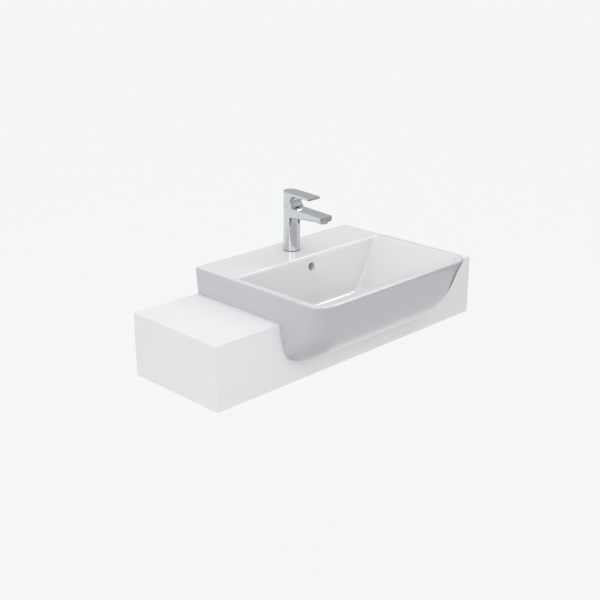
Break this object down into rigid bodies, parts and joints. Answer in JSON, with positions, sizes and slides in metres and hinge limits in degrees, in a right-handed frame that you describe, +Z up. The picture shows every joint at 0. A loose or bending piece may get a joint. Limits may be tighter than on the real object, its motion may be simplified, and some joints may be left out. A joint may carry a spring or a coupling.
{
  "type": "semi recessed washbasin",
  "caption": "Semi-recessed ceramic washbasin on a thick counter section, with single-lever mixer, push-open waste and wall brackets.",
  "frame": {"origin": "middle of the whole part's width and depth, on the counter's underside", "axes": "+X along the wall to the user's right, +Y towards the wall, +Z up"},
  "size_m": [0.93, 0.4406, 0.3915],
  "materials": {
    "glaze": "gloss",
    "board": "satin white lacquer",
    "carcass": "raw board",
    "bracket_steel": "powder coat",
    "zinc": "zinc plated",
    "steel_spring": "bare",
    "silicone": "satin",
    "black_rubber": "matt",
    "chrome": "mirror",
    "brass": "machined",
    "nylon": "moulded",
    "disc_ceramic": "lapped",
    "cap_plastic": "gloss"
  },
  "bodies": {
    "basin_and_counter": {"basin_body": "glaze", "counter_top": "board", "front_apron": "board", "end_panel_left": "board", "end_panel_right": "board", "rear_rail": "carcass", "bearer_left": "carcass", "bearer_right": "carcass", "corner_blocks": "carcass", "wall_bracket_left": "bracket_steel", "wall_bracket_right": "bracket_steel", "bracket_screws": "zinc", "clamp_studs": "zinc", "clamp_plates": "zinc", "clamp_nuts": "zinc", "horseshoe_plate": "zinc", "fixing_nut": "zinc", "fixing_stud": "zinc", "click_spring": "steel_spring", "counter_seal": "silicone", "front_seal": "silicone", "waste_gasket": "black_rubber", "waste_seal": "black_rubber", "cartridge_seal": "black_rubber", "base_ring": "black_rubber", "horseshoe_gasket": "black_rubber", "waste_body": "chrome", "tailpiece": "chrome", "tap_body": "chrome", "cover_ring": "chrome", "aerator_housing": "chrome", "backnut": "brass", "cartridge_nut": "brass", "inlet_insert": "brass", "clamp_plugs": "nylon", "slip_washer": "nylon", "click_housing": "nylon", "cartridge_housing": "nylon", "aerator_insert": "nylon", "fixed_disc": "disc_ceramic"},
    "rotor": {"cartridge_rotor": "nylon", "pivot_pin": "zinc"},
    "disc_slide": {"disc_carrier": "nylon", "moving_disc": "disc_ceramic"},
    "lever": {"tap_lever": "chrome", "spindle": "brass", "grub_screw": "zinc", "screw_cap": "cap_plastic"},
    "plug": {"plug_cap": "chrome", "plug_seal": "black_rubber", "plug_stem": "brass"}
  },
  "joints": [
    {"name": "lever_swivel", "type": "hinge", "parent": "basin_and_counter", "child": "rotor", "pos_m": [0, 0.154, 0.32226], "axis": [0, 0, 1], "range_deg": [-45, 45]},
    {"name": "lever_lift", "type": "hinge", "parent": "rotor", "child": "lever", "pos_m": [0, 0.154, 0.32226], "axis": [-1, 0, 0], "range_deg": [0, 20]},
    {"name": "disc_travel", "type": "slide", "parent": "rotor", "child": "disc_slide", "axis": [0, 1, 0], "range_m": [-0.0045, 0]},
    {"name": "plug_push", "type": "slide", "parent": "basin_and_counter", "child": "plug", "axis": [0, 0, 1], "range_m": [-0.007, 0], "deforming": ["click_spring"]}
  ],
  "couplings": [
    {"joint": "disc_travel", "follows": "lever_lift", "m_per_rad": -0.012378}
  ]
}
